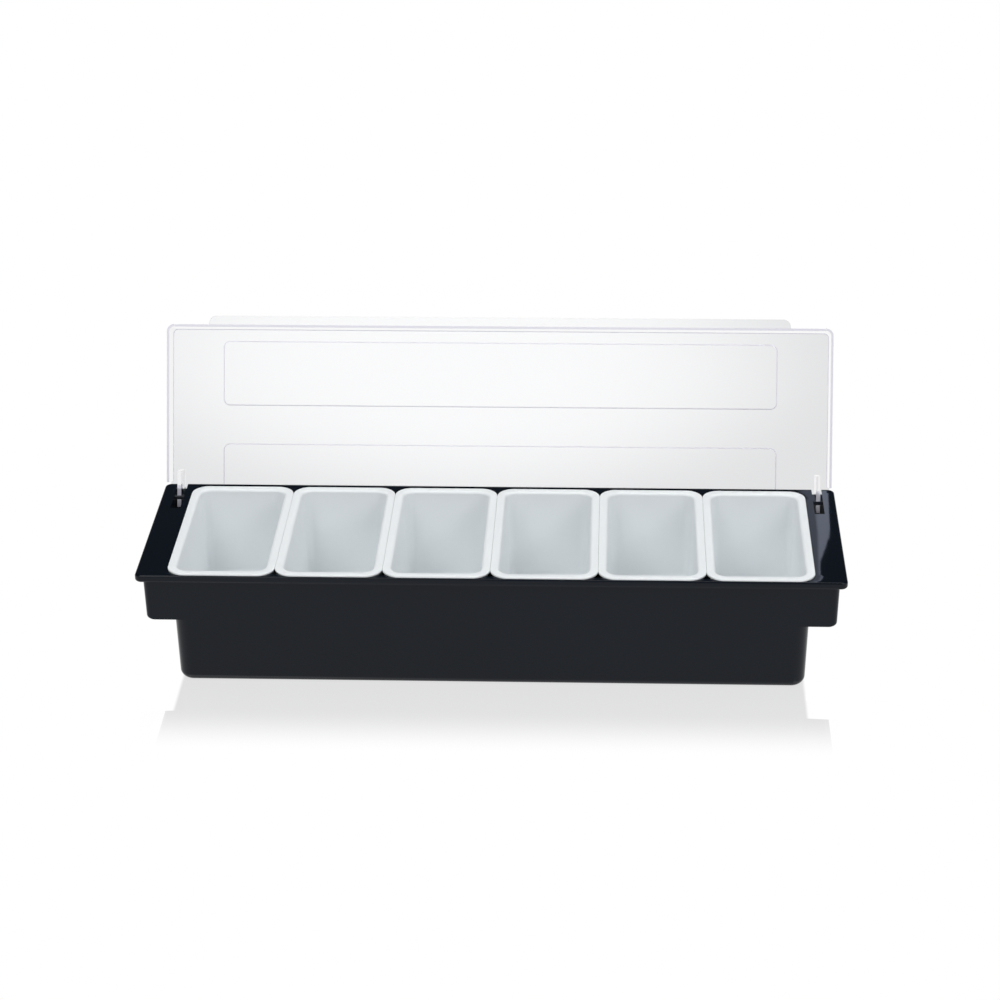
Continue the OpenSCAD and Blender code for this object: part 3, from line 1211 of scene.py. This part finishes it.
@dataclass(frozen=True)
class Room:
    """The world: white as a backdrop, softer where it lights the caddy or shows in its gloss.

    Pairs are ranges or places of the direction's X, Y or Z, whose length is 1.

    Attributes:
        light: the level that lights the caddy.
        front: the level that gloss shows in front of the caddy.
        rear: the level that it shows behind and above.
        turn: the range of Y over which front gives way to rear.
        rise: the range of Z over which it does.
        bank: X and Z of the soft light bank's middle, in front.
        bank_reach: its half width and half height.
        bank_strength: its level in the middle.
        card: X of the blue card's right side, low and high on it.
        card_corner: X of the slanting part of that side, at Z = 0.
        card_slant: how fast that part moves to the left as Z grows.
        card_soft: how soft the right side is, before and after it.
        card_left: the range of X over which the card starts.
        card_dim: the range of X over which its dim left strip ends.
        card_dim_level: that strip's share of the card's strength.
        card_low: the range of Z over which it starts.
        card_strength: its level.
        card_colour: its colour.
    """

    light: float = 0.36
    front: float = 0.7
    rear: float = 0.06
    turn: Point2 = (-0.2, 0.45)
    rise: Point2 = (0.5, 0.65)
    bank: Point2 = (-0.058, 0.368)
    bank_reach: Point2 = (0.14, 0.055)
    bank_strength: float = 2.5
    card: Point2 = (0.0718, 0.0765)
    card_corner: float = 0.3381
    card_slant: float = 0.6
    card_soft: Point2 = (-0.0002, 0.0003)
    card_left: Point2 = (0.064, 0.067)
    card_dim: Point2 = (0.0703, 0.072)
    card_dim_level: float = 0.42
    card_low: Point2 = (0.405, 0.415)
    card_strength: float = 2.0
    card_colour: Colour = (0.72, 0.8, 1.0, 1.0)

    def front_bank(self, wiring: Wiring, way: bpy.types.NodeOutputs) -> bpy.types.NodeSocket:
        """The level that the soft oval bank adds.

        Args:
            wiring: the world's node tree.
            way: the direction's X, Y and Z.

        Returns:
            The level.
        """
        calc = wiring.math
        squares = []
        for axis, middle, reach in zip("XZ", self.bank, self.bank_reach):
            part = calc("DIVIDE", calc("SUBTRACT", way[axis], middle), reach)
            squares.append(calc("MULTIPLY", part, part))
        ahead = calc("LESS_THAN", way["Y"], 0.0)
        level = wiring.ramp(calc("ADD", *squares), 0, 1, self.bank_strength, 0)
        return calc("MULTIPLY", ahead, level)

    def rear_card(self, wiring: Wiring, way: bpy.types.NodeOutputs,
                  behind: bpy.types.NodeSocket) -> bpy.types.NodeSocket:
        """The level of the blue card, whose right side slants.

        Args:
            wiring: the world's node tree.
            way: the direction's X, Y and Z.
            behind: how far the direction is behind the caddy, from 0 to 1.

        Returns:
            The level.
        """
        calc, ramp = wiring.math, wiring.ramp
        slant = calc("SUBTRACT", self.card_corner, calc("MULTIPLY", way["Z"], self.card_slant))
        side = calc("MINIMUM", calc("MAXIMUM", slant, self.card[0]), self.card[1])
        within = ramp(calc("SUBTRACT", way["X"], side), *self.card_soft, self.card_strength, 0)
        for part in (ramp(way["X"], *self.card_left, 0, 1),
                     ramp(way["X"], *self.card_dim, self.card_dim_level, 1),
                     behind, ramp(way["Z"], *self.card_low, 0, 1)):
            within = calc("MULTIPLY", within, part)
        return within

    def build(self) -> None:
        """Makes the world: the room with its bank as one light, and the card as another."""
        world = bpy.data.worlds.new("studio")
        bpy.context.scene.world = world
        world.use_nodes = True
        nodes, links = world.node_tree.nodes, world.node_tree.links
        nodes.clear()
        wiring = Wiring(world.node_tree)
        calc, ramp = wiring.math, wiring.ramp
        way = wiring.apart("Generated")
        behind = ramp(way["Y"], *self.turn, 0, 1)
        above = ramp(way["Z"], *self.rise, 0, 1)
        room = ramp(calc("MAXIMUM", behind, above), 0, 1, self.front, self.rear)
        mirrored = calc("ADD", room, self.front_bank(wiring, way))

        seen_by = nodes.new("ShaderNodeLightPath").outputs
        glossy = calc("MINIMUM", seen_by["Glossy Depth"], 1.0)
        bounced = calc("ADD", seen_by["Glossy Depth"], seen_by["Diffuse Depth"], clamp=True)
        through = calc("MULTIPLY", seen_by["Is Transmission Ray"], calc("SUBTRACT", 1.0, bounced))
        past_lid = calc("MULTIPLY", glossy, seen_by["Is Transmission Ray"])
        sharp = calc("MULTIPLY", seen_by["Is Singular Ray"], calc("SUBTRACT", 1.0, past_lid))
        backdrop = calc("MAXIMUM", through, calc("MAXIMUM", seen_by["Is Camera Ray"], sharp))
        level = wiring.blend(backdrop, wiring.blend(glossy, self.light, mirrored), 1.0)
        in_gloss = calc("MULTIPLY", glossy, calc("SUBTRACT", 1.0, backdrop))
        card = calc("MULTIPLY", self.rear_card(wiring, way, behind), in_gloss)
        both = nodes.new("ShaderNodeAddShader")
        for place, colour, strength in zip(both.inputs, ((1, 1, 1, 1), self.card_colour),
                                           (level, card)):
            light = nodes.new("ShaderNodeBackground")
            light.inputs["Color"].default_value = colour
            links.new(strength, light.inputs["Strength"])
            links.new(light.outputs[0], place)
        out = nodes.new("ShaderNodeOutputWorld")
        links.new(both.outputs[0], out.inputs["Surface"])


@dataclass(frozen=True)
class Lamp:
    """A soft rectangular lamp.

    Attributes:
        name: the lamp's name.
        place: where it stands, in metres.
        size: its width and height, in metres.
        power: watts.
        aim: the point it faces, in metres.
    """

    name: str
    place: Point3
    size: Point2
    power: float
    aim: Point3 = (0, 0, 0.05)

    def build(self) -> None:
        """Makes the lamp and turns it to its aim."""
        data = bpy.data.lights.new(self.name, "AREA")
        data.shape = "RECTANGLE"
        data.size, data.size_y = self.size
        data.energy = self.power
        obj = bpy.data.objects.new(self.name, data)
        obj.location = self.place
        ahead = Vector(self.aim) - Vector(self.place)
        obj.rotation_euler = ahead.to_track_quat("-Z", "Y").to_euler()
        bpy.context.scene.collection.objects.link(obj)


STUDIO = (
    Camera(),
    Floor(),
    Room(),
    Lamp("key", (-0.9, -1.0, 1.9), (1.4, 1.0), 13),
    Lamp("fill", (1.3, -0.9, 1.4), (1.2, 1.0), 10),
    Lamp("top", (0.0, 0.3, 2.0), (1.6, 0.8), 14),
)


def main() -> None:
    """Builds the caddy piece by piece, and then the studio round it."""
    hinge = Hinge.from_frame()
    low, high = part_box("base_tray")
    size = (high - low) / MM
    base = BaseTray(hinge, size.x, size.y, size.z)
    black, white = BLACK_GLOSS.build(), WHITE_GLOSS.build()
    base.build(black)
    for number in range(1, INSERTS + 1):
        Insert.from_frame(number).build(white)
    Lid(hinge, base).build([LID_FINISHES[part].build() for part in LidFinish])
    bpy.context.scene.view_settings.view_transform = "Standard"
    for thing in STUDIO:
        thing.build()
        log.info("studio: %s", type(thing).__name__)


if __name__ == "__main__":
    main()
